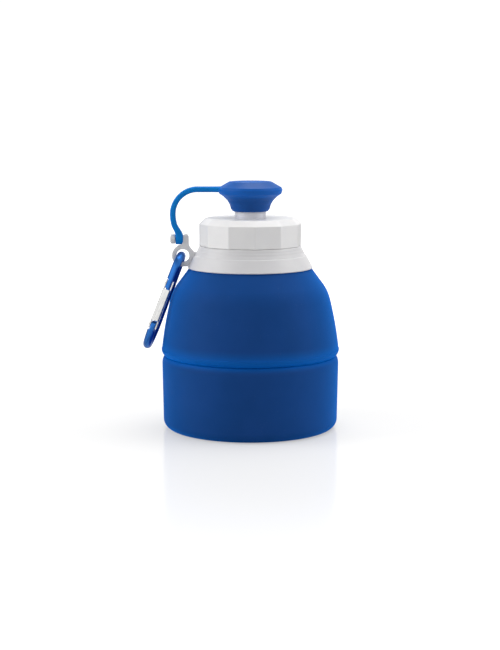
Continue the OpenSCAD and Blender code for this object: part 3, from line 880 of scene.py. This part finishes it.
def make_strap_lower():
    """The half that ends the bend, drops to the peg and thickens into a pad with a round foot."""
    line, headings = strap_bend(STRAP_SPLIT, 90)
    lean = 12
    tail = bend(line[-1], 270, lean, 18.65, 4)[1:]
    edges = band_edges(line + tail, headings + [270 + lean * i / 4 for i in (1, 2, 3, 4)])
    drop = way(270 + lean)
    half = STRAP_T / 2
    pad_out, pad_in = -36.15, -32.5
    pad_r = STRAP_W / 2
    pad_start, pad_grow = PEG_Z + 7.25, 6.2
    levels = [pad_start - 0.8 * i for i in range(9)] + [PEG_Z]
    levels += [PEG_Z - pad_r * math.sin(math.radians(a)) for a in (12, 24, 36, 48, 58, 67, 75, 81, 86)]
    for level in levels:
        reach = (tail[-1].y - level) / -drop.y
        middle = tail[-1] + drop * reach
        grow = min(1.0, max(0.0, (pad_start - level) / pad_grow))
        grow = grow * grow * (3 - 2 * grow)
        tilt = 270 + lean * (1 - grow)
        outer = (middle + half * way(tilt - 90)).lerp(Vector((pad_out, level)), grow)
        inner = (middle + half * way(tilt + 90)).lerp(Vector((pad_in, level)), grow)
        edges.append((outer, inner))
    sections = []
    for outer, inner in edges:
        below = PEG_Z - (outer.y + inner.y) / 2
        width = pad_r if below <= 0 else math.sqrt(max(0.02, pad_r ** 2 - below ** 2))
        sections.append(strap_section(outer, inner, width))
    strap = loft("strap_lower", sections)
    hole = prism("peg_hole", circle((0, PEG_Z), 1.5, 40), -40, -30, axes=(1, 2, 0))
    strap = smooth(cut(strap, [hole]), 50)
    add_modifier(strap, "WEIGHTED_NORMAL", keep_sharp=True)
    strap = settle(strap)
    finish_piece(strap, STRAP_GLOW_SILICONE, None, ["tether_lower"])
    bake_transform(strap)


# ---- Carabiner: built in its own plane (x = towards the bottle, y = u, z = v) and then hung ----

HANG = (Matrix.Translation(Vector((HOOK_X, 0, HOOK_Z)) * MM)
        @ Matrix.Rotation(math.radians(HOOK_LEAN), 4, "Y")
        @ Matrix.Rotation(math.radians(-HOOK_YAW), 4, "Z"))
SIDEWAYS = (1, 2, 0)
UPRIGHT = (0, 2, 1)


def leg_u(v):
    """Distance of a leg's centre line from the middle of the loop at level v."""
    tilt = math.radians(LEG_TILT)
    return (TOP_BEND_R - (v + TOP_BEND_R) * math.sin(tilt)) / math.cos(tilt)


GATE_PLACE = (HANG @ Matrix.Translation(Vector((0, -leg_u(HINGE_V), HINGE_V)) * MM)
              @ Matrix.Rotation(math.radians(-LEG_TILT), 4, "X"))
GATE_REACH = (LATCH_V - HINGE_V) / math.cos(math.radians(LEG_TILT))


def make_wire():
    """The bent wire, with a flat tongue at each end, a latch notch and the hinge rivet's eye."""
    tongue_half, tongue_v, nose_v, heel_v = 1.15, -11.8, -16.4, -37.8
    top_sweep, low_sweep = 180 - 2 * LEG_TILT, 180 + 2 * LEG_TILT
    top = [Vector((0, -TOP_BEND_R)) + TOP_BEND_R * way(180 - LEG_TILT - top_sweep * i / 40)
           for i in range(41)]
    low = [Vector((0, LOW_BEND_V)) + LOW_BEND_R * way(LEG_TILT - low_sweep * i / 52)
           for i in range(53)]
    nose = Vector((-leg_u(nose_v), nose_v))
    heel = Vector((-leg_u(HINGE_V), HINGE_V))
    line = [nose, *top, *low, heel]
    curve = bpy.data.curves.new("snap_wire", "CURVE")
    curve.dimensions = "3D"
    curve.bevel_depth = WIRE_R * MM
    curve.bevel_resolution = 10
    curve.use_fill_caps = True
    spline = curve.splines.new("POLY")
    spline.points.add(len(line) - 1)
    for point, p in zip(spline.points, line):
        point.co = (0, p.x * MM, p.y * MM, 1)
    wire = clean(settle(add_object("snap_wire", curve)))
    cutters = []
    for side in (-1, 1):
        near, far = sorted((side * tongue_half, side * 4))
        for low_v, high_v, out_u, in_u in ((-19, tongue_v, -14, -3), (heel_v, -30, -16, -5)):
            flat = [(near, low_v), (far, low_v), (far, high_v), (near, high_v)]
            cutters.append(prism("flat", flat, out_u, in_u, axes=UPRIGHT))
    u, notch_r = -leg_u(LATCH_V), 1.1
    slot = [Vector((u, LATCH_V)) + notch_r * way(90 + 180 * i / 16) for i in range(17)]
    slot += [Vector((u + 5, LATCH_V - notch_r)), Vector((u + 5, LATCH_V + notch_r))]
    cutters.append(prism("notch", slot, -4, 4, axes=SIDEWAYS))
    cutters.append(prism("eye", circle(heel, PIN_HOLE_R, 24), -4, 4, axes=SIDEWAYS))
    round_heel = prism("heel", circle(heel, 1.8, 48), -1.1, 1.1, axes=SIDEWAYS)
    wire = cut(wire, [round_heel], "UNION")
    wire = clean(cut(wire, cutters), 0.01)
    smooth(wire, 35)
    add_modifier(wire, "BEVEL", width=0.14 * MM, segments=2, limit_method="ANGLE",
                 angle_limit=math.radians(45), use_clamp_overlap=True)
    wire = clean(settle(wire, HANG))
    smooth(wire, 35)
    add_modifier(wire, "WEIGHTED_NORMAL", keep_sharp=True)
    finish_piece(wire, ANODISED_BLUE, "carabiner", ["carabiner_frame"])


def make_gate():
    """A channel folded from thin sheet: the back plate is outside and two cheeks reach both pins."""
    back, front, half, sheet = -2.4, 1.8, 1.9, 0.5
    middle = (back + front) / 2
    end_r = (front - back) / 2
    # cross-section in x (across the wire) and y (outwards to inwards), run along z
    section = eased([
        (-half, front, 0.12), (-half, back, 0.8), (half, back, 0.8), (half, front, 0.12),
        (half - sheet, front, 0.12), (half - sheet, back + sheet, 0.35), (sheet - half, back + sheet, 0.35),
        (sheet - half, front, 0.12)
    ])
    channel = prism("snap_gate", section, -end_r - 1, GATE_REACH + end_r + 1)
    # side view: round ends, and a back plate that stops short of both of them
    low, high = -32.7 - HINGE_V, -17.0 - HINGE_V
    inset = back + 0.85
    sweep = 180 - math.degrees(math.acos((middle - inset) / end_r))
    latch_end, hinge_end = Vector((middle, GATE_REACH)), Vector((middle, 0))
    side_view = [latch_end + end_r * way(sweep - sweep * i / 20) for i in range(21)]
    side_view += [hinge_end + end_r * way(-sweep * i / 20) for i in range(21)]
    side_view += [(inset, low - 0.5), (inset - 0.2, low - 0.15), (back - 1, low), (back - 1, high),
                  (inset - 0.2, high + 0.15), (inset, high + 0.5)]
    side_view.reverse()
    cutter = prism("gate_outline", side_view, -4, 4, axes=SIDEWAYS)
    channel = cut(channel, [cutter], "INTERSECT")
    holes = [prism("pin_hole", circle((0, y), PIN_HOLE_R, 32), -4, 4, axes=SIDEWAYS)
             for y in (0, GATE_REACH)]
    gate = cut(channel, holes)
    # the tab that the spring pushes on is folded in from the back plate
    tab_z, tab_root, tab_tip = TAB_V - HINGE_V, back + 0.2, 1.2
    tab_side = eased([(tab_root, tab_z), (tab_tip, tab_z, 0.2), (tab_tip, tab_z + sheet, 0.2),
                      (tab_root, tab_z + sheet)])
    tab = prism("tab", tab_side, -1.45, 1.45, axes=SIDEWAYS)
    gate = clean(cut(gate, [tab], "UNION"), 0.01, flatten=True)
    smooth(gate, 35)
    add_modifier(gate, "BEVEL", width=0.07 * MM, segments=2, limit_method="ANGLE",
                 angle_limit=math.radians(50), use_clamp_overlap=True)
    gate = clean(settle(gate, GATE_PLACE))
    smooth(gate, 40)
    add_modifier(gate, "WEIGHTED_NORMAL", keep_sharp=True)
    finish_piece(gate, GATE_SHEET, "gate", ["carabiner_gate"])


def make_rivet(name, along, body, node):
    """A rivet with a domed head outside each cheek."""
    shank_r, head_r, cheek, dome = 0.75, 1.2, 1.92, 2.22

    def head(sign):
        return [(head_r, sign * cheek, 0.04), (head_r, sign * (cheek + 0.1), 0.06),
                (shank_r, sign * (dome - 0.03), 0.2), (0, sign * dome)]

    profile = eased([*reversed(head(1)), (shank_r, cheek), (shank_r, -cheek), *head(-1)])
    rivet = turned(name, profile, closed=False, steps=40)
    place = GATE_PLACE @ Matrix.Translation((0, 0, along * MM)) @ Matrix.Rotation(math.radians(90), 4, "Y")
    rivet = settle(rivet, place)
    finish_piece(rivet, PIN_STEEL, body, [node])


def make_coil():
    """The little spring between the heel and the gate's tab."""
    turns, coil_r, wire_r, sides = 7, 0.85, 0.22, 12
    low, high = -32.6 - HINGE_V, TAB_V - HINGE_V - 0.3
    ring = [(coil_r + p.x, 0, p.y) for p in circle((0, 0), wire_r, sides)]
    edges = [(i, (i + 1) % sides) for i in range(sides)]
    coil = mesh_piece("gate_coil", ring, edges=edges)
    add_modifier(coil, "SCREW", angle=math.tau, iterations=turns, screw_offset=(high - low) / turns * MM,
                 steps=32, render_steps=32, use_smooth_shade=True)
    coil = clean(settle(coil, GATE_PLACE @ Matrix.Translation((0, 0, low * MM))), 0.0001)
    smooth(coil, 60)
    finish_piece(coil, SPRING_STEEL, "gate", ["gate_spring"])


make_cup()
make_dome()
make_fold_wall()
make_neck()
make_collar()
make_lug()
make_peg()
make_lid()
make_seal_ring()
make_spout()
make_cap()
make_strap_upper()
make_strap_lower()
make_wire()
make_gate()
make_rivet("hinge_rivet", 0, "carabiner", "gate_hinge_pin")
make_rivet("latch_rivet", GATE_REACH, "gate", "gate_latch_pin")
make_coil()


# ---- Studio ----

def make_floor():
    """A pale sweep that stays white up to the horizon, with a faint mirror of what stands on it."""
    half = 4000
    floor = mesh_piece("floor", [(-half, -half, 0), (half, -half, 0), (half, half, 0), (-half, half, 0)],
                       [(0, 1, 2, 3)])
    material = bpy.data.materials.new("studio floor")
    material.use_nodes = True
    graph = Graph(material.node_tree)
    material.node_tree.nodes.remove(material.node_tree.nodes["Principled BSDF"])
    # the glow is half strength at the bottle's foot and full white from 0.42 m outwards
    place = graph.add("VectorMath", {"operation": "LENGTH"})
    graph.feed(place.inputs[0], graph.add("TexCoord").outputs["Object"])
    lit = graph.remap(place.outputs["Value"], 0.08, 0.5, 0.42, 1.0)
    path = graph.add("LightPath")
    glow = graph.add("Emission", Strength=graph.math("MULTIPLY", lit, path.outputs["Is Camera Ray"]))
    paper = graph.add("BsdfDiffuse", Color=(0.40, 0.40, 0.40, 1))
    polish = graph.add("BsdfAnisotropic", Color=(0.16, 0.157, 0.15, 1), Roughness=0.16)
    both = graph.add("AddShader")
    graph.feed(both.inputs[0], paper.outputs[0])
    graph.feed(both.inputs[1], glow.outputs[0])
    total = graph.add("AddShader")
    graph.feed(total.inputs[0], both.outputs[0])
    graph.feed(total.inputs[1], polish.outputs[0])
    graph.feed(material.node_tree.nodes["Material Output"].inputs["Surface"], total.outputs[0])
    floor.data.materials.append(material)


def make_light(name, place, aim, width, height, power, diffuse=True, glossy=True):
    data = bpy.data.lights.new(name, "AREA")
    data.shape = "RECTANGLE"
    data.size, data.size_y = width, height
    data.energy = power
    lamp = add_object(name, data)
    lamp.location = place
    lamp.rotation_euler = (Vector(aim) - Vector(place)).to_track_quat("-Z", "Y").to_euler()
    lamp.visible_camera = False
    lamp.visible_diffuse = diffuse
    lamp.visible_glossy = glossy


def make_studio():
    """Soft boxes light the matte pieces; the wide, dim cards are only mirrored in the glossy ones."""
    make_floor()
    middle = (0, 0, 0.06)
    make_light("left soft box", (-0.8, -0.08, 0.35), middle, 0.5, 0.9, 5.0, glossy=False)
    make_light("right soft box", (0.8, -0.05, 0.35), middle, 0.5, 0.9, 3.8, glossy=False)
    make_light("overhead", (0.16, 0.28, 1.05), (0, 0, 0.05), 1.0, 1.0, 8.6)
    make_light("left card", (-0.9, -0.3, 0.35), middle, 0.9, 1.2, 2.8, diffuse=False)
    make_light("right card", (0.9, -0.3, 0.35), middle, 0.9, 1.2, 2.0, diffuse=False)
    make_light("front card", (-0.2, -1.6, 0.6), middle, 2.4, 1.4, 8.0)
    make_light("back card", (0, 1.9, 0.6), middle, 3.2, 1.5, 11, diffuse=False)
    world = bpy.data.worlds.new("studio")
    bpy.context.scene.world = world
    world.use_nodes = True
    graph = Graph(world.node_tree)
    sky = world.node_tree.nodes["Background"]
    path = graph.add("LightPath")
    graph.feed(sky.inputs["Color"], (1, 1, 1, 1))
    graph.feed(sky.inputs["Strength"], graph.remap(path.outputs["Is Camera Ray"], 0, 1, 0.26, 1.05))
    bpy.context.scene.view_settings.view_transform = "Standard"


def make_camera():
    data = bpy.data.cameras.new("camera")
    data.lens = 86.0
    data.sensor_width = 36
    data.clip_start = 0.01
    camera = add_object("camera", data)
    camera.location = (-0.00015, -0.750, 0.1589)
    camera.rotation_euler = (math.radians(81.75), 0, 0)
    bpy.context.scene.camera = camera


make_studio()
make_camera()
